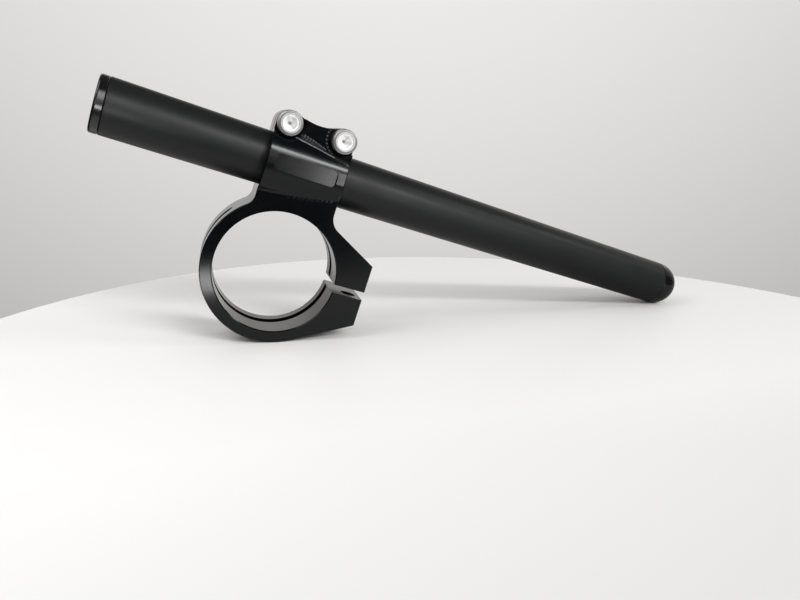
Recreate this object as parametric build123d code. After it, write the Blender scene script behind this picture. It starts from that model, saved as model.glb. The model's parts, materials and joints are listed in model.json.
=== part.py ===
from build123d import *
import math
import os

# Clip-on handlebar: a one-piece billet clamp that grips a fork leg and carries a straight bar.
# The clamp is drawn upright, its bar seat straight above the fork bore, and then the whole part
# is turned about the bore so that it lies on the ring's underside and on the outer end plug.
# Frame: +Y along the fork axis, from the front face to the back; +Z up; +X to the bar's outer end.
# The origin is the centre of the fork bore, at half the clamp's thickness. Millimetres, degrees.

# Bar tube
bar_diameter = 22.2
bar_wall = 4.0
bar_length = 283.0
bar_inner_reach = 78.5
bar_drop = 7.0
bar_end_chamfer = 0.35

# End plugs
spigot_length = 15.0
spigot_wall = 2.0
spigot_lead = 0.8
spigot_clearance = 0.05
inner_flange = 3.5
inner_edge_radius = 1.0
outer_flange = 2.5
plug_edge_chamfer = 0.25

# Fork ring and its pinch ears
fork_bore = 51.0
ring_wall = 5.0
clamp_thickness = 24.5
bore_chamfer = 0.4
split_gap = 3.5
ear_reach = 39.2
ear_half_height = 13.6
edge_break = 0.35

# Slot that parts the ring into two bands, leaning so that it lies furthest back at one turn round the bore
slot_setback = 13.7
slot_width = 5.0
slot_lean = 6.3
slot_lean_turn = 312.0
slot_start = 144.0
slot_end = 296.0
groove_depth = 3.0
groove_land = 0.7
groove_stop = 70.0

# Neck, bar barrel and clamp lugs
bar_offset = 43.5
clamp_width = 33.0
barrel_diameter = 32.0
barrel_blend = 1.6
neck_fillet_inner = 5.5
neck_fillet_outer = 7.0
seat_clearance = 0.05
slit_width = 2.0
web_height = 18.9
pocket_length = 26.0
pocket_height = 6.8
pocket_corner = 1.6
pocket_rise = 0.65
pocket_depth = 0.9

# Bar clamp screws and their seats
screw_pitch = 22.7
screw_height = 16.2
thread_diameter = 6.0
thread_clearance = 0.05
through_hole = 6.6
screw_length = 20.0
head_diameter = 10.0
head_height = 6.0
head_edge_radius = 1.0
socket_across_flats = 5.0
socket_depth = 3.6
socket_cone = 1.4
socket_mouth = 6.7
socket_lead = 0.5
tip_chamfer = 0.6
spot_face = 13.2
spot_depth = 3.0

# Pinch screw hole through the ears
pinch_reach = 34.0
pinch_setback = 6.9
pinch_seat = 8.5
pinch_counterbore = 11.0

bar_radius = bar_diameter / 2
bar_bore_radius = bar_radius - bar_wall
ring_radius = fork_bore / 2 + ring_wall
barrel_radius = barrel_diameter / 2
half_width = clamp_width / 2
half_thickness = clamp_thickness / 2
screw_level = bar_offset + screw_height
thread_radius = thread_diameter / 2
tapped_radius = thread_radius + thread_clearance
seat_level = -half_thickness + spot_depth
past = 2 * clamp_thickness

# Bar line: local z runs outwards along the bar, local x points away from the fork bore
drop = math.radians(bar_drop)
bar_line = Plane(origin=(0, 0, bar_offset), x_dir=(0, 0, 1), z_dir=(math.cos(drop), math.sin(drop), 0))
tube_start = -bar_inner_reach
tube_end = bar_length - bar_inner_reach

# Turn about the fork axis that brings the ring and the outer dome down to one floor
dome_reach = (tube_end + outer_flange) * math.cos(drop)
dome_fall = math.acos((bar_radius - ring_radius) / math.hypot(dome_reach, bar_offset))
rest_turn = Rot(0, math.degrees(dome_fall - math.atan2(dome_reach, bar_offset)), 0)


# Solid of revolution about local z, from a closed profile of radius and height
def turned(*edges):
    return revolve(Plane.XZ * make_face(Curve() + list(edges)), Axis.Z)


# Round bar along local z between two heights
def rod(radius, low, high):
    return Pos(0, 0, (low + high) / 2) * Cylinder(radius, high - low)


# Round bar along the fork axis at one place of the clamp's face
def cross_rod(radius, x, z, front, back):
    return Pos(x, (front + back) / 2, z) * Rot(90, 0, 0) * Cylinder(radius, back - front)


# Face outline of the lugs: two bosses round the screws, joined by a dip that is tangent to both
def neck_outline():
    boss_x = screw_pitch / 2
    boss_radius = half_width - boss_x
    rise = web_height - screw_height
    dip_radius = (boss_x**2 + rise**2 - boss_radius**2) / (2 * (boss_radius - rise))
    lean = math.atan2(dip_radius + rise, boss_x)
    middle = (math.pi + lean) / 2
    touch_x = boss_x - boss_radius * math.cos(lean)
    touch_z = screw_level + boss_radius * math.sin(lean)
    crown_x = boss_x - boss_radius * math.cos(middle)
    crown_z = screw_level + boss_radius * math.sin(middle)
    dip = (0, bar_offset + web_height)
    return make_face(
        Curve()
        + [
            Line((-half_width, 0), (-half_width, screw_level)),
            ThreePointArc((-half_width, screw_level), (-crown_x, crown_z), (-touch_x, touch_z)),
            ThreePointArc((-touch_x, touch_z), dip, (touch_x, touch_z)),
            ThreePointArc((touch_x, touch_z), (crown_x, crown_z), (half_width, screw_level)),
            Line((half_width, screw_level), (half_width, 0)),
            Line((half_width, 0), (-half_width, 0)),
        ]
    )


# Pinch ears: straight flanks from the ears' corners, tangent to the ring
def ear_outline():
    corner_turn = math.atan2(ear_half_height, ear_reach)
    touch_turn = corner_turn + math.acos(ring_radius / math.hypot(ear_reach, ear_half_height))
    touch_x = ring_radius * math.cos(touch_turn)
    touch_z = ring_radius * math.sin(touch_turn)
    corners = [
        (0, 0),
        (touch_x, touch_z),
        (ear_reach, ear_half_height),
        (ear_reach, -ear_half_height),
        (touch_x, -touch_z),
    ]
    return make_face(Polyline(*corners, close=True))


# Plate that the ring, ears, neck and lugs are milled from
def clamp_plate():
    outline = Sketch() + Circle(ring_radius) + ear_outline() + neck_outline()
    for side, radius in ((-1, neck_fillet_inner), (1, neck_fillet_outer)):
        corner = [
            v for v in outline.vertices() if abs(v.X - side * half_width) < 0.01 and 1 < v.Y < bar_offset
        ]
        outline = fillet(corner, radius)
    return extrude(Plane.XZ * outline, amount=half_thickness, both=True)


# Barrel round the bar, tilted with it, standing proud of the plate's front and back
def bar_barrel():
    barrel = bar_line * Cylinder(barrel_radius, 2 * clamp_width)
    return barrel & Pos(0, 0, bar_offset) * Box(clamp_width, past, past)


# Plate and barrel as one billet, blended where they meet and with their outer edges broken
def clamp_billet():
    billet = clamp_plate() + bar_barrel()
    seams = [
        edge
        for edge in billet.edges().filter_by(GeomType.ELLIPSE)
        if abs(abs(edge.center().Y) - half_thickness) < 0.01
    ]
    billet = fillet(seams, barrel_blend)
    rims = []
    for edge in billet.edges():
        middle = edge @ 0.5
        plain = edge.geom_type in (GeomType.LINE, GeomType.CIRCLE)
        on_face = plain and abs(abs(middle.Y) - half_thickness) < 0.001
        on_end = abs(abs(middle.X) - half_width) < 0.001 and abs(middle.Y) > half_thickness - 0.01
        if on_face or on_end:
            rims.append(edge)
    return chamfer(rims, edge_break)


# Part of a ring about the fork axis, between two radii, two depths and two angles
def ring_sector(inner, outer, front, back, start, end):
    section = Pos((inner + outer) / 2, (front + back) / 2) * Rectangle(outer - inner, back - front)
    sector = revolve(section, Axis.Y, revolution_arc=start - end)
    return Rot(0, -start, 0) * sector


# Groove in the bore, which stops behind the neck, and the slot that opens it through the ring's thin wall;
# both lie on one leaning plane
def ring_slot():
    bore_radius = fork_bore / 2
    reach = slot_width / 2
    land = math.degrees(math.asin((split_gap / 2 + groove_land) / bore_radius))
    floor_radius = bore_radius + groove_depth
    groove = ring_sector(bore_radius - 1, floor_radius, -reach, reach, land, groove_stop)
    groove += ring_sector(bore_radius - 1, floor_radius, -reach, reach, slot_start, 360 - land)
    slot = ring_sector(bore_radius - 1, ring_radius + 1, -reach, reach, slot_start, slot_end)
    for turn in (slot_start, slot_end):
        mill = Rot(0, -turn, 0) * Rot(0, 90, 0)
        slot += mill * rod(reach, bore_radius - 1, ring_radius + 1)
    lean = Rot(0, -slot_lean_turn, 0) * Rot(0, 0, slot_lean) * Rot(0, slot_lean_turn, 0)
    return Pos(0, slot_setback - half_thickness, 0) * lean * (groove + slot)


# Everything the bar seat needs: the bar's bore, its slit, the bare pocket and the screw holes
def bar_seat_cuts():
    bore = bar_line * Cylinder(bar_radius + seat_clearance, 3 * clamp_width)
    slit = bar_line * Pos(past / 2, 0, 0) * Box(past, slit_width, past)
    pocket_shift = barrel_radius * math.tan(drop)
    floor = bar_line * Pos(pocket_rise, barrel_radius - pocket_depth, -pocket_shift) * Plane.XZ.location
    rounded = RectangleRounded(pocket_height, pocket_length, pocket_corner)
    pocket = floor * extrude(rounded, amount=-past)
    cuts = bore + slit + pocket
    for x in (-screw_pitch / 2, screw_pitch / 2):
        cuts += cross_rod(spot_face / 2, x, screw_level, -past, seat_level)
        cuts += cross_rod(through_hole / 2, x, screw_level, -past, 0)
        cuts += cross_rod(tapped_radius, x, screw_level, 0, past)
    return cuts


# Split between the ears and the pinch screw's hole: clear and counterbored below, tapped above
def pinch_cuts():
    split = Pos(past, 0, 0) * Box(2 * past, past, split_gap)
    hole = rod(through_hole / 2, -past, 0) + rod(pinch_counterbore / 2, -past, -pinch_seat)
    hole += rod(tapped_radius, 0, past)
    return split + Pos(pinch_reach, pinch_setback - half_thickness, 0) * hole


def clamp_body():
    body = clamp_billet() - Rot(90, 0, 0) * Cylinder(fork_bore / 2, past)
    mouths = [
        edge
        for edge in body.edges().filter_by(GeomType.CIRCLE)
        if abs(edge.radius - fork_bore / 2) < 0.01
    ]
    body = chamfer(mouths, bore_chamfer)
    return body - ring_slot() - bar_seat_cuts() - pinch_cuts()


def bar_tube():
    tube = rod(bar_radius, tube_start, tube_end) - rod(bar_bore_radius, tube_start - 1, tube_end + 1)
    rims = [e for e in tube.edges().filter_by(GeomType.CIRCLE) if abs(e.radius - bar_radius) < 0.01]
    return bar_line * chamfer(rims, bar_end_chamfer)


# Hollow push-in spigot below a plug's flange, which starts at height 0
def spigot():
    outer = bar_bore_radius - spigot_clearance
    inner = outer - spigot_wall
    corners = [
        (inner, 0),
        (outer, 0),
        (outer, -spigot_length + spigot_lead),
        (outer - spigot_lead, -spigot_length),
        (inner, -spigot_length),
    ]
    return turned(Polyline(*corners, close=True))


def inner_end_plug():
    flange = rod(bar_radius, 0, inner_flange)
    rims = flange.edges().sort_by(Axis.Z)
    flange = fillet(rims[-1], inner_edge_radius)
    flange = chamfer(flange.edges().sort_by(Axis.Z)[0], plug_edge_chamfer)
    plug = flange + spigot()
    return bar_line * Pos(0, 0, tube_start) * Rot(180, 0, 0) * plug


def outer_end_plug():
    edge = plug_edge_chamfer
    cap = turned(
        Line((0, 0), (bar_radius - edge, 0)),
        Line((bar_radius - edge, 0), (bar_radius, edge)),
        Line((bar_radius, edge), (bar_radius, outer_flange)),
        CenterArc((0, outer_flange), bar_radius, 0, 90),
        Line((0, outer_flange + bar_radius), (0, 0)),
    )
    return bar_line * Pos(0, 0, tube_end) * (cap + spigot())


# Socket head screw along local z, its head's seat at height 0
def cap_screw():
    head = fillet(rod(head_diameter / 2, 0, head_height).edges().sort_by(Axis.Z)[-1], head_edge_radius)
    shank = chamfer(rod(thread_radius, -screw_length, 0).edges().sort_by(Axis.Z)[0], tip_chamfer)
    key = RegularPolygon(socket_across_flats / 2, 6, major_radius=False)
    socket = Pos(0, 0, head_height - socket_depth) * extrude(key, amount=socket_depth + 1)
    drilled = Pos(0, 0, head_height - socket_depth - socket_cone / 2)
    cone = drilled * Cone(0, socket_across_flats / 2, socket_cone)
    lead = Pos(0, 0, head_height - socket_lead / 2)
    mouth = lead * Cone(socket_across_flats / 2, socket_mouth / 2, socket_lead)
    return head + shank - socket - cone - mouth


def bar_clamp_screws():
    screw = Rot(90, 0, 0) * cap_screw()
    places = [(x, seat_level, screw_level) for x in (-screw_pitch / 2, screw_pitch / 2)]
    return [Pos(*place) * screw for place in places]


nodes = {
    "clamp_body": [clamp_body()],
    "bar_tube": [bar_tube()],
    "inner_end_plug": [inner_end_plug()],
    "outer_end_plug": [outer_end_plug()],
    "bar_clamp_screws": bar_clamp_screws(),
}
os.makedirs("parts", exist_ok=True)
for name, pieces in nodes.items():
    solids = [solid for piece in pieces for solid in (rest_turn * piece).solids()]
    export_step(Compound(children=solids), f"parts/{name}.step")
    print(name, len(solids), [round(solid.volume) for solid in solids])
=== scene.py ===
import json
import math
import bpy
import numpy as np
from mathutils import Matrix, Quaternion, Vector


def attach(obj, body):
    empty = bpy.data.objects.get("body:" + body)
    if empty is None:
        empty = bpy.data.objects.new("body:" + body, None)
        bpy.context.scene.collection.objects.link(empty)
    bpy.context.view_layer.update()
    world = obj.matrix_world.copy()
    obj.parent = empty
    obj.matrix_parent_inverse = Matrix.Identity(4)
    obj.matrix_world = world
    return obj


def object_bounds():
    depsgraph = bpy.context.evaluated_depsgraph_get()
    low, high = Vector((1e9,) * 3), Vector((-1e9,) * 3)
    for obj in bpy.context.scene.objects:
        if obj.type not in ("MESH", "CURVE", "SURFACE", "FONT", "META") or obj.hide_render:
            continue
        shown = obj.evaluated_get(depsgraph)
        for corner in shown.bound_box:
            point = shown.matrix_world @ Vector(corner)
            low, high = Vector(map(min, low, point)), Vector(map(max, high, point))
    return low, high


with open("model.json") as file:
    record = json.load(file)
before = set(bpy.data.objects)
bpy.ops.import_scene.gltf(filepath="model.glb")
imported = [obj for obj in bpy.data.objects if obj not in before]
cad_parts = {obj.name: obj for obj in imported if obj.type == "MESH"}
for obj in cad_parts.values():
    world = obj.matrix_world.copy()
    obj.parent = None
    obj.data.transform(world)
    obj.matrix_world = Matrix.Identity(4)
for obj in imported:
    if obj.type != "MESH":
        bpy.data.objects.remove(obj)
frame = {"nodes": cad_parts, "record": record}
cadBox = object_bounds()
nodes = frame["nodes"]
mounts = {mount["name"]: mount for mount in frame["record"]["mounts"]}
mm = 0.001
print("frame loaded:", sorted(nodes))

# Read from the frame: the level that the part rests on, and the bar's axis
floorLevel = cadBox[0].z
barPoint = np.array(mounts["grip_bar"]["pos_m"])
barAxis = np.array(mounts["grip_bar"]["axis"])
barAxis /= np.linalg.norm(barAxis)

# Upright frame: the clamp as it is milled, before the part is laid down.
# a runs along the plate, y along the fork and c from the bore up to the bar.
restTurn = math.atan2(-barAxis[2], barAxis[0])
barDrop = math.asin(barAxis[1])
barHeight = barPoint[0] * math.sin(restTurn) + barPoint[2] * math.cos(restTurn)
plateFront = -12.25 * mm
barrelRadius = 16 * mm
screwSpots = ((-11.35 * mm, 59.7 * mm), (11.35 * mm, 59.7 * mm))


# Upright place to the place where it lies: a and c turned by the rest angle about the fork's axis
def laid(a, y, c):
    a, y, c = np.broadcast_arrays(a, y, c)
    x = a * math.cos(restTurn) + c * math.sin(restTurn)
    z = c * math.cos(restTurn) - a * math.sin(restTurn)
    return np.stack([x, y, z], axis=-1)


# sRGB hex to linear: each channel c is c/12.92 below 0.04045 and ((c+0.055)/1.055)^2.4 above it
def hexColour(code):
    channels = [int(code[i:i + 2], 16) / 255 for i in (1, 3, 5)]
    return tuple(c / 12.92 if c <= 0.04045 else ((c + 0.055) / 1.055) ** 2.4 for c in channels) + (1.0,)


# One node with its settings and its inputs: an input is a value, or a socket to link from
def addNode(tree, kind, inputs=None, **settings):
    node = tree.nodes.new(kind)
    for name, value in settings.items():
        setattr(node, name, value)
    for name, value in (inputs or {}).items():
        if isinstance(value, bpy.types.NodeSocket):
            tree.links.new(value, node.inputs[name])
        else:
            node.inputs[name].default_value = value
    return node


# Value carried from one span to another and held at the ends, straight or eased
def carry(tree, value, source, target=(0.0, 1.0), easing="LINEAR"):
    inputs = {
        "Value": value, "From Min": source[0], "From Max": source[1],
        "To Min": target[0], "To Max": target[1]}
    return addNode(tree, "ShaderNodeMapRange", inputs, interpolation_type=easing).outputs["Result"]


def eased(tree, value, source, target=(0.0, 1.0)):
    return carry(tree, value, source, target, "SMOOTHSTEP")


def maths(tree, operation, *values):
    return addNode(tree, "ShaderNodeMath", dict(enumerate(values)), operation=operation).outputs[0]


def mixValue(tree, factor, first, second):
    return addNode(tree, "ShaderNodeMix", {"Factor": factor, "A": first, "B": second}).outputs["Result"]


# The mix node's colour sockets are numbers 6 and 7 going in and number 2 coming out
def mixColour(tree, factor, first, second):
    inputs = {"Factor": factor, 6: first, 7: second}
    return addNode(tree, "ShaderNodeMix", inputs, data_type="RGBA").outputs[2]


# How far a place or direction reaches along a given way
def along(tree, place, way):
    return addNode(tree, "ShaderNodeVectorMath", {0: place, 1: way}, operation="DOT_PRODUCT").outputs["Value"]


def noise(tree, place, size, detail, rough=0.5):
    inputs = {"Vector": place, "Scale": 1 / size, "Detail": detail, "Roughness": rough}
    return addNode(tree, "ShaderNodeTexNoise", inputs).outputs["Fac"]


def relief(tree, height, strength, depth):
    inputs = {"Height": height, "Strength": strength, "Distance": depth}
    return addNode(tree, "ShaderNodeBump", inputs).outputs["Normal"]


# Empty material, its tree and the place on the object
def newMaterial(name):
    material = bpy.data.materials.new(name)
    material.use_nodes = True
    tree = material.node_tree
    tree.nodes.clear()
    return material, tree, addNode(tree, "ShaderNodeTexCoord").outputs["Object"]


def surface(tree, inputs):
    shader = addNode(tree, "ShaderNodeBsdfPrincipled", inputs)
    addNode(tree, "ShaderNodeOutputMaterial", {"Surface": shader.outputs["BSDF"]})


def dress(nodeName, material):
    mesh = nodes[nodeName].data
    mesh.materials.clear()
    mesh.materials.append(material)


# Middle of a noise's spread, which finishes turn into their least and greatest roughness
noiseSpread = (0.3, 0.7)


# Satin black: milled aluminium under a dyed anodic film, so deep black square on and pale at a glance.
# Handling leaves slow changes of gloss, and the cutter's fine lay runs in circles about the fork bore.
def clampAnodise():
    look = {
        "dark": "#050607", "light": "#090a0c", "rough": (0.13, 0.19), "ior": 1.3,
        "handling": 14 * mm, "grain": 0.5 * mm,
        "lay": 0.7 * mm, "wave": 0.314,  # lay drawn coarser than the real one; wave is its width at scale 1
        "layShare": 0.35, "relief": 0.12, "depth": 0.02 * mm,
    }
    material, tree, place = newMaterial("satin_black_anodised_aluminium")
    handling = noise(tree, place, look["handling"], 4.0)
    grain = noise(tree, place, look["grain"], 2.0)
    lay = addNode(tree, "ShaderNodeTexWave", {
        "Vector": place, "Scale": look["wave"] / look["lay"], "Distortion": 0.6, "Detail": 1.0,
        "Detail Scale": 2.0}, wave_type="RINGS", rings_direction="Y").outputs["Fac"]
    marks = maths(tree, "MULTIPLY_ADD", lay, look["layShare"], grain)
    surface(tree, {
        "Base Color": mixColour(tree, handling, hexColour(look["dark"]), hexColour(look["light"])),
        "Roughness": carry(tree, handling, noiseSpread, look["rough"]), "IOR": look["ior"],
        "Normal": relief(tree, marks, look["relief"], look["depth"])})
    return material


# Matte black: bead-blasted tube under the same film, so the highlight spreads wide over a fine even grain
def barAnodise():
    look = {
        "dark": "#111212", "light": "#171818", "rough": (0.38, 0.46), "ior": 1.29,
        "blast": 0.45 * mm, "blastRough": 0.6,  # blast grain drawn a little coarser than the real 0.2 mm
        "handling": 22 * mm, "relief": 0.35, "depth": 0.03 * mm,
    }
    material, tree, place = newMaterial("bead_blasted_black_anodised_aluminium")
    handling = noise(tree, place, look["handling"], 3.0)
    blast = noise(tree, place, look["blast"], 3.0, look["blastRough"])
    surface(tree, {
        "Base Color": mixColour(tree, blast, hexColour(look["dark"]), hexColour(look["light"])),
        "Roughness": carry(tree, handling, noiseSpread, look["rough"]), "IOR": look["ior"],
        "Normal": relief(tree, blast, look["relief"], look["depth"])})
    return material


# Moulded plug: black nylon with a polished mould's gloss, a trace of flow ripple and fine scuffs
def plugNylon():
    look = {
        "dark": "#0a0a0b", "light": "#0f0f10", "rough": (0.17, 0.24), "ior": 1.47,
        "ripple": 2.5 * mm, "scuff": 0.8 * mm, "scuffSpread": (0.35, 0.7), "relief": 0.1, "depth": 0.05 * mm,
    }
    material, tree, place = newMaterial("gloss_black_moulded_nylon")
    ripple = noise(tree, place, look["ripple"], 1.0)
    scuff = noise(tree, place, look["scuff"], 4.0)
    surface(tree, {
        "Base Color": mixColour(tree, scuff, hexColour(look["dark"]), hexColour(look["light"])),
        "Roughness": carry(tree, scuff, look["scuffSpread"], look["rough"]), "IOR": look["ior"],
        "Normal": relief(tree, ripple, look["relief"], look["depth"])})
    return material


# Stainless screw: a grey face turned in fine rings, a satin rim with a dark line of painted shade where the
# face meets it, and a matte socket painted near white as painted light, with a grey spot of painted shade at
# its drill point. Each is told by the distance from the nearer screw's axis.
# The edges are given outer first where the zone lies inside them.
def screwStainless():
    look = {
        "dark": "#b0b0b0", "light": "#c8c8c8", "socket": "#fcfcfc", "point": "#d0d0d0", "line": "#747476",
        "rough": (0.34, 0.44), "socketRough": 0.92, "rimRough": 0.55,
        "socketEdge": (3.3 * mm, 3.1 * mm), "pointEdge": (0.9 * mm, 0.5 * mm),
        "rimEdge": (4.0 * mm, 4.3 * mm), "lineMiddle": 4.2 * mm, "lineEdge": (0.35 * mm, 0.15 * mm),
        "grain": 0.6 * mm,
        "ring": 0.4 * mm, "relief": 0.1, "depth": 0.02 * mm,  # rings drawn coarser than the real 0.1 mm
    }
    material, tree, place = newMaterial("turned_stainless_steel")
    level = (1.0, 0.0, 1.0)  # takes out y, the way the screws run
    flat = addNode(tree, "ShaderNodeVectorMath", {0: place, 1: level}, operation="MULTIPLY").outputs["Vector"]
    spans = []
    for spot in screwSpots:
        ends = {0: flat, 1: tuple(laid(spot[0], 0.0, spot[1]).tolist())}
        spans.append(addNode(tree, "ShaderNodeVectorMath", ends, operation="DISTANCE").outputs["Value"])
    span = maths(tree, "MINIMUM", *spans)
    inSocket = carry(tree, span, look["socketEdge"])
    inPoint = carry(tree, span, look["pointEdge"])
    inRim = carry(tree, span, look["rimEdge"])
    # Painted shade: a dark ring where the face meets the rim, standing in for the shade in that corner.
    offLine = maths(tree, "SUBTRACT", span, look["lineMiddle"])
    inShadeLine = carry(tree, maths(tree, "ABSOLUTE", offLine), look["lineEdge"])
    grain = noise(tree, place, look["grain"], 3.0)
    face = mixColour(tree, grain, hexColour(look["dark"]), hexColour(look["light"]))
    # Painted light: the socket is the same steel as the face, drawn near white so the hollow reads lit.
    socket = mixColour(tree, inSocket, face, hexColour(look["socket"]))
    # Painted shade: the drill point is drawn grey, standing in for the shade at the bottom of the socket.
    shadedPoint = mixColour(tree, inPoint, socket, hexColour(look["point"]))
    faceRough = carry(tree, grain, noiseSpread, look["rough"])
    outerRough = mixValue(tree, inRim, faceRough, look["rimRough"])
    turns = maths(tree, "MULTIPLY", span, 2 * math.pi / look["ring"])
    surface(tree, {
        "Base Color": mixColour(tree, inShadeLine, shadedPoint, hexColour(look["line"])),
        "Roughness": mixValue(tree, inSocket, outerRough, look["socketRough"]), "Metallic": 1.0,
        "Normal": relief(tree, maths(tree, "SINE", turns), look["relief"], look["depth"])})
    return material


clampFinish = clampAnodise()
barFinish = barAnodise()
plugFinish = plugNylon()
screwFinish = screwStainless()
dress("clamp_body", clampFinish)
dress("bar_tube", barFinish)
dress("inner_end_plug", plugFinish)
dress("outer_end_plug", plugFinish)
dress("bar_clamp_screws", screwFinish)
print("finishes on", len(nodes), "nodes")


# Grid of points to a quad mesh object.
# wrapU joins the last column to the first, and closes the first row with one face.
def gridPiece(name, points, material, wrapU=False):
    rows, columns = points.shape[:2]
    index = np.arange(rows * columns).reshape(rows, columns)
    if wrapU:
        index = np.concatenate([index, index[:, :1]], axis=1)
    corners = [index[:-1, :-1], index[1:, :-1], index[1:, 1:], index[:-1, 1:]]
    faces = np.stack(corners, axis=-1).reshape(-1, 4).tolist()
    if wrapU:
        faces.append(index[0, :-1].tolist())
    mesh = bpy.data.meshes.new(name)
    mesh.from_pydata(points.reshape(-1, 3).tolist(), [], faces)
    mesh.materials.append(material)
    mesh.shade_smooth()
    piece = bpy.data.objects.new(name, mesh)
    bpy.context.scene.collection.objects.link(piece)
    return piece


# Smooth step from 0 to 1 between two ends
def ramp(value, low, high):
    share = np.clip((value - low) / (high - low), 0, 1)
    return share * share * (3 - 2 * share)


# Where a circle of radius r in front of the plate touches both plate and barrel: its centre is r from the
# plate and barrel + r from the bar's axis. Gives the distance from the axis along the fork, and the rise
# above or below it.
def seamCircle(a, radius):
    offset = (a * math.tan(barDrop) - plateFront + radius) * math.cos(barDrop)
    return offset, np.sqrt((barrelRadius + radius) ** 2 - offset ** 2)


# Even ridge, 1 at the crest and 0 midway between two, for a place counted in pitches
def ridge(place):
    return np.abs(2 * (place - np.floor(place)) - 1)


# Blend left by a ball cutter between barrel and plate: the arc of that circle, whose radius swells and dies
# away along the seam. Where the radius is least, the blend lies under the clamp's own. Ridges between the
# cuts cross it where it is wide. Lengths are in millimetres.
def cutterBlend():
    blend = {
        "stations": (-7.6, -5.0, 4.6, 6.6, 8.6, 10.5, 15.5, 16.1),
        "radii": (1.5, 2.6, 2.0, 1.5, 1.5, 3.0, 4.2, 1.5), "ridges": (0, 0, 0, 0, 0, 0.2, 0.2, 0),
        "pitch": 1.5, "lean": 0.3, "skin": 0.03, "swell": (1.6, 2.2), "border": 0.1, "grid": (30, 560),
    }
    stations = np.array(blend["stations"]) * mm
    a = np.linspace(stations[0], stations[-1], blend["grid"][1])
    share = np.linspace(0, 1, blend["grid"][0])[:, None]
    radius = np.interp(a, stations, np.array(blend["radii"]) * mm)
    crest = np.interp(a, stations, np.array(blend["ridges"]) * mm)
    offset, rise = seamCircle(a, radius)
    angle = share * np.arctan2(rise, offset)
    place = (a + blend["lean"] * radius * angle) / (blend["pitch"] * mm)
    border = ramp(np.minimum(share, 1 - share), 0, blend["border"])
    swell = ramp(radius, blend["swell"][0] * mm, blend["swell"][1] * mm)
    reach = radius - crest * ridge(place) * border * swell + blend["skin"] * mm * (1 - border * swell)
    points = laid(
        a - reach * np.cos(angle) * np.sin(barDrop * share),
        plateFront - radius + reach * np.cos(angle) * np.cos(barDrop * share),
        barHeight + rise - reach * np.sin(angle))
    piece = gridPiece("cutter_blend", points, clampFinish)
    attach(piece, "root")


# Feed marks on the plate beside a seam: ridges that run away from the barrel, on a field that starts under
# the barrel's blend and sinks under the plate at its borders. A lift below 0 lowers the field towards the
# barrel. Lengths are in millimetres.
def feedMarks(name, marks):
    field = {"tuck": 0.8, "ends": 0.8, "seamRadius": 1.6, "skin": 0.03, "grid": (26, 520)}
    stations = np.array(marks["stations"]) * mm
    a = np.linspace(stations[0], stations[-1], field["grid"][1])
    reach = np.interp(a, stations, np.array(marks["reach"]) * mm)
    share = np.linspace(0, 1, field["grid"][0])[:, None]
    away = -field["tuck"] * mm + share * (reach + field["tuck"] * mm)
    place = (a - marks["lean"] * away) / (marks["pitch"] * mm)
    ends = ramp(np.minimum(a - a[0], a[-1] - a), 0, field["ends"] * mm)
    border = ends * (1 - ramp(share, marks["fade"], 1))
    lift = marks["lift"] * (reach - away) + marks["crest"] * mm * ridge(place)
    height = lift * border - field["skin"] * mm * (1 - border)
    rise = seamCircle(a, field["seamRadius"] * mm)[1]
    points = laid(a, plateFront - height, barHeight + marks["side"] * (rise + away))
    piece = gridPiece(name, points[:, ::-marks["side"]], clampFinish)
    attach(piece, "root")


# Burr lip round the right screw's spot face: a low arch across, height times 1 minus the square of the
# distance from its crest, that rises and falls along the rim with the cutter's chatter.
# Lengths are in millimetres and turns in degrees.
def spotLip():
    lip = {
        "radius": 6.6, "half": 0.65, "middle": 1.05, "height": 0.15, "turns": (156, 244), "chatter": 1.4,
        "skin": 0.03, "ends": 0.12, "grid": (13, 240),  # middle is in halves, ends in radians
    }
    turn = np.radians(np.linspace(*lip["turns"], lip["grid"][1]))
    across = np.linspace(-1, 1, lip["grid"][0])[:, None]
    out = (lip["radius"] + lip["half"] * (lip["middle"] + across)) * mm
    ends = ramp(np.minimum(turn - turn[0], turn[-1] - turn), 0, lip["ends"])
    chatter = 0.5 + 0.5 * np.cos(2 * np.pi * lip["radius"] * turn / lip["chatter"])
    height = lip["height"] * chatter * ends * (1 - across ** 2) - lip["skin"] * across ** 2
    centre = screwSpots[1]
    points = laid(
        centre[0] + out * np.cos(turn),
        plateFront - height * mm,
        centre[1] + out * np.sin(turn))
    piece = gridPiece("spot_face_lip", points, clampFinish)
    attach(piece, "root")


cutterBlend()
feedMarks("upper_feed_marks", {
    "side": 1, "stations": (-6.2, -4.6, 0.0, 4.6, 6.0), "reach": (1.4, 2.6, 2.0, 1.2, 0.8),
    "pitch": 1.25, "lean": 0.3, "lift": -0.02, "crest": 0.12, "fade": 0.75})
feedMarks("lower_feed_marks", {
    "side": -1, "stations": (-5.0, 14.5), "reach": (0.9, 0.9),
    "pitch": 1.9, "lean": 0.0, "lift": 0.0, "crest": 0.085, "fade": 0.6})
spotLip()
print("cutter marks on the clamp")


# Way across the table, turned from the front (-Y) towards -X
def tableWay(degrees):
    turn = math.radians(degrees)
    return (-math.sin(turn), -math.cos(turn), 0.0)
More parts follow.
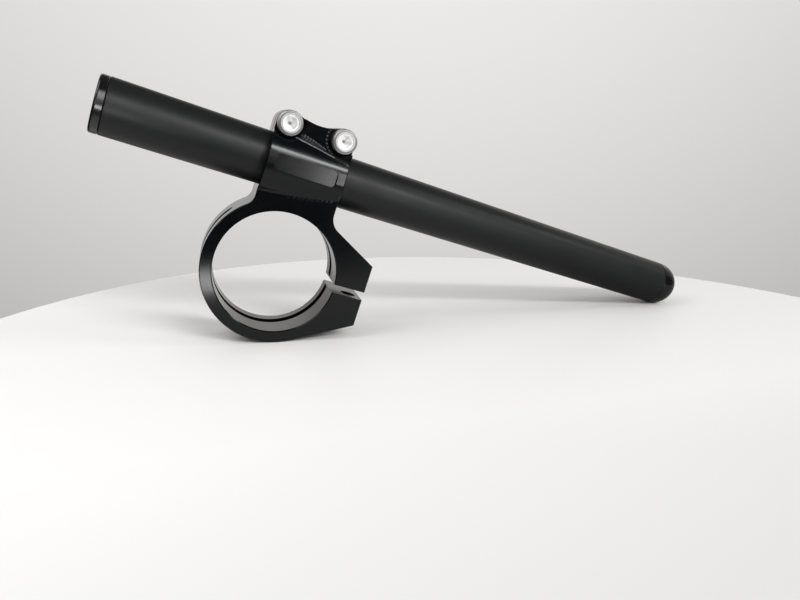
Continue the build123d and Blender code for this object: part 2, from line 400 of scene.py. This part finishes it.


# Pale laminate: an even matte white, with painted shade that greys it a little towards the front.
# Mirror rays see its near side and its right side in shade, as the real room is darker there.
def paleLaminate(nearWay):
    look = {
        "colour": "#eaeae9", "front": "#d4d4d3", "frontTurn": -6, "frontShade": (0.105, 0.2), "rough": 0.55,
        "shadow": "#202020", "nearShade": (0.105, 0.150), "nearMost": 0.85,
        "rightShade": (0.06, 0.20), "rightMost": 0.7,
    }
    material, tree, place = newMaterial("pale_matte_laminate")
    across = addNode(tree, "ShaderNodeSeparateXYZ", {"Vector": place}).outputs["X"]
    nearShade = eased(tree, along(tree, place, nearWay), look["nearShade"], (0.0, look["nearMost"]))
    rightShade = eased(tree, across, look["rightShade"], (0.0, look["rightMost"]))
    glossy = addNode(tree, "ShaderNodeLightPath").outputs["Is Glossy Ray"]
    inGloss = maths(tree, "MULTIPLY", maths(tree, "MAXIMUM", nearShade, rightShade), glossy)
    # Painted shade: the laminate's colour greys to the front colour along this way, for shade on the near
    # table.
    frontShade = carry(tree, along(tree, place, tableWay(look["frontTurn"])), look["frontShade"])
    laminate = mixColour(tree, frontShade, hexColour(look["colour"]), hexColour(look["front"]))
    colour = mixColour(tree, inGloss, laminate, hexColour(look["shadow"]))
    surface(tree, {"Base Color": colour, "Roughness": look["rough"]})
    return material


# Floor: a pale round table whose near side is cut straight just below the picture's frame.
# The outline's radius is the circle's, or the distance to the near edge, nearReach over the cosine of the
# angle from it. Rings carry the outline in to the centre, and the last ones round over at the rim.
def paleFloor():
    table = {
        "centre": (0.088, -0.074), "radius": 0.242, "nearTurn": 12.6, "nearReach": 0.127,
        "rim": 0.004, "depth": 0.02, "innerShares": (0.002, 0.4), "leastCosine": 0.01, "grid": (9, 360),
    }
    nearWay = tableWay(table["nearTurn"])
    turn = np.linspace(0, 2 * np.pi, table["grid"][1], endpoint=False)
    toNear = np.cos(turn) * nearWay[0] + np.sin(turn) * nearWay[1]
    outline = np.minimum(table["radius"], table["nearReach"] / np.maximum(toNear, table["leastCosine"]))
    quarter = np.linspace(0, np.pi / 2, table["grid"][0])
    rimShares = 1 - table["rim"] / table["radius"] * (1 - np.sin(quarter))
    shares = np.concatenate([table["innerShares"], rimShares, [1]])
    drops = np.concatenate([[0, 0], table["rim"] * (1 - np.cos(quarter)), [table["depth"]]])
    points = np.stack([
        table["centre"][0] + shares[:, None] * outline * np.cos(turn),
        table["centre"][1] + shares[:, None] * outline * np.sin(turn),
        np.broadcast_to(floorLevel - drops[:, None], (len(shares), len(turn))),
    ], axis=-1)
    floor = gridPiece("floor", points, paleLaminate(nearWay), wrapU=True)


paleFloor()


# Backdrop: brightness falls with the angle from a point high on the wall behind the part.
# Camera rays never see less than the pale wall. Mirror rays see the wall brighten above the picture and go
# dark overhead, and a dim room in front of the part with a lighter band above the horizon.
# The rest of the light is an even fill. Heights are sines of the elevation.
def softRoom():
    room = {
        "colour": "#fffdfb", "centreAzimuth": 13, "centreElevation": 30, "slope": 0.986, "level": -0.082,
        "wallLeast": 0.51, "fill": 0.45, "wallLift": 1.4, "liftSine": (0.16, 0.30),
        "overhead": 0.1, "overheadSine": (0.36, 0.62), "roomLeast": 0.02, "band": 1.65,
        "bandRise": (0.02, 0.14), "bandFall": (0.36, 0.50), "bandSides": (0.64, 0.90),
        "bandWay": (-0.1, -0.995, 0.0),
    }
    world = bpy.data.worlds.new("soft_room")
    bpy.context.scene.world = world
    world.use_nodes = True
    tree = world.node_tree
    tree.nodes.clear()
    azimuth = math.radians(room["centreAzimuth"])
    elevation = math.radians(room["centreElevation"])
    flatReach = math.cos(elevation)
    centre = (math.sin(azimuth) * flatReach, math.cos(azimuth) * flatReach, math.sin(elevation))
    direction = addNode(tree, "ShaderNodeTexCoord").outputs["Generated"]
    height = addNode(tree, "ShaderNodeSeparateXYZ", {"Vector": direction}).outputs["Z"]
    path = addNode(tree, "ShaderNodeLightPath").outputs
    wall = maths(tree, "MULTIPLY_ADD", along(tree, direction, centre), room["slope"], room["level"])
    seenWall = maths(tree, "MAXIMUM", wall, room["wallLeast"])
    lift = eased(tree, height, room["liftSine"], (1.0, room["wallLift"]))
    overhead = eased(tree, height, room["overheadSine"], (1.0, room["overhead"]))
    glossWall = maths(tree, "MULTIPLY", maths(tree, "MULTIPLY", wall, lift), overhead)
    rise = eased(tree, height, room["bandRise"], (room["roomLeast"], room["band"]))
    drop = eased(tree, height, room["bandFall"], (room["band"], room["roomLeast"]))
    front = carry(tree, along(tree, direction, room["bandWay"]), room["bandSides"])
    frontBand = maths(tree, "MULTIPLY", maths(tree, "MINIMUM", rise, drop), front)
    seenGloss = maths(tree, "MAXIMUM", glossWall, frontBand)
    mirror = maths(tree, "MAXIMUM", path["Is Glossy Ray"], path["Is Transmission Ray"])
    glossOrFill = mixValue(tree, mirror, room["fill"], seenGloss)
    strength = mixValue(tree, path["Is Camera Ray"], glossOrFill, seenWall)
    shader = addNode(tree, "ShaderNodeBackground", {"Color": hexColour(room["colour"]), "Strength": strength})
    addNode(tree, "ShaderNodeOutputWorld", {"Surface": shader.outputs["Background"]})


softRoom()


# Soft lamp that looks at a point: place and aim in metres, size in metres, power in watts
def softLamp(name, place, aim, size, power, spread, roll):
    data = bpy.data.lights.new(name, "AREA")
    data.shape = "RECTANGLE"
    data.size, data.size_y = size
    data.energy = power
    data.spread = math.radians(spread)
    lamp = bpy.data.objects.new(name, data)
    lamp.location = place
    facing = (Vector(aim) - Vector(place)).to_track_quat("-Z", "Y")
    lamp.rotation_euler = (facing @ Quaternion((0, 0, 1), math.radians(roll))).to_euler()
    lamp.visible_camera = False
    bpy.context.scene.collection.objects.link(lamp)


# Direction from the part to a lamp: azimuth from the front (-Y) towards +X, elevation above the horizon
def lampPlace(azimuth, elevation, distance, aim):
    a = math.radians(azimuth)
    e = math.radians(elevation)
    way = Vector((math.sin(a) * math.cos(e), -math.cos(a) * math.cos(e), math.sin(e)))
    return Vector(aim) + distance * way


# The lamps' directions come from the highlights: key is the barrel's strip, upper and plugCard are the two
# glints of the inner plug, low is the pale end of the barrel, side is the spark on the bore's edge, and
# ringCard is the glow on the ring's left face. The fill stands to the left over the table.
barrelPoint = (0.012, -0.015, 0.047)
plugPoint = (-0.061, -0.020, 0.066)
ringPoint = (-0.0282, -0.01225, -0.0035)
tablePoint = (0.03, -0.08, floorLevel)
lamps = {
    "key": {
        "azimuth": 36, "elevation": 29, "distance": 2.4, "aim": barrelPoint,
        "size": (1.1, 0.26), "power": 27.5, "roll": -26},
    "upper": {
        "azimuth": 18, "elevation": 34, "distance": 2.4, "aim": plugPoint,
        "size": (0.8, 1.2), "power": 16.5},
    "low": {
        "azimuth": 28.5, "elevation": 1, "distance": 2.4, "aim": barrelPoint,
        "size": (0.22, 1.5), "power": 14.0, "roll": -21},
    "side": {
        "azimuth": 77, "elevation": 36, "distance": 2.4, "aim": ringPoint,
        "size": (0.4, 0.4), "power": 6.0},
    "fill": {
        "azimuth": -90, "elevation": 53, "distance": 0.5, "aim": tablePoint,
        "size": (0.3, 0.3), "power": 0.9},
    "ringCard": {
        "azimuth": -1.5, "elevation": -12.6, "distance": 0.07, "aim": ringPoint,
        "size": (0.014, 0.011), "power": 0.00032, "spread": 35},
    "plugCard": {
        "azimuth": 2, "elevation": -12.5, "distance": 0.1, "aim": plugPoint,
        "size": (0.05, 0.022), "power": 0.002, "spread": 35},
}
for lampName, lamp in lamps.items():
    place = lampPlace(lamp["azimuth"], lamp["elevation"], lamp["distance"], lamp["aim"])
    spread = lamp.get("spread", 180)
    softLamp(lampName, place, lamp["aim"], lamp["size"], lamp["power"], spread, lamp.get("roll", 0))


# Camera at the photograph's angle: yaw from +Y towards +X, pitch down, roll about the view line
def photoCamera():
    shot = {
        "place": (-0.02102, -0.28841, 0.06196), "yaw": 15.21, "pitch": 14.82, "roll": 1.81,
        "focalPixels": 671.16, "widthPixels": 800, "sensor": 36.0, "clipStart": 0.01,
    }
    yaw, pitch, roll = (math.radians(shot[key]) for key in ("yaw", "pitch", "roll"))
    forward = Vector((math.sin(yaw) * math.cos(pitch), math.cos(yaw) * math.cos(pitch), -math.sin(pitch)))
    level = Vector((math.cos(yaw), -math.sin(yaw), 0))
    upright = level.cross(forward)
    right = math.cos(roll) * level + math.sin(roll) * upright
    up = -math.sin(roll) * level + math.cos(roll) * upright
    data = bpy.data.cameras.new("photo_camera")
    data.sensor_width = shot["sensor"]
    data.lens = shot["focalPixels"] * shot["sensor"] / shot["widthPixels"]
    data.clip_start = shot["clipStart"]
    camera = bpy.data.objects.new("photo_camera", data)
    turn = Matrix((right, up, -forward)).transposed().to_4x4()
    camera.matrix_world = Matrix.Translation(shot["place"]) @ turn
    bpy.context.scene.collection.objects.link(camera)
    bpy.context.scene.camera = camera


photoCamera()
bpy.context.scene.view_settings.view_transform = "Standard"
print("stage, lamps and camera placed")
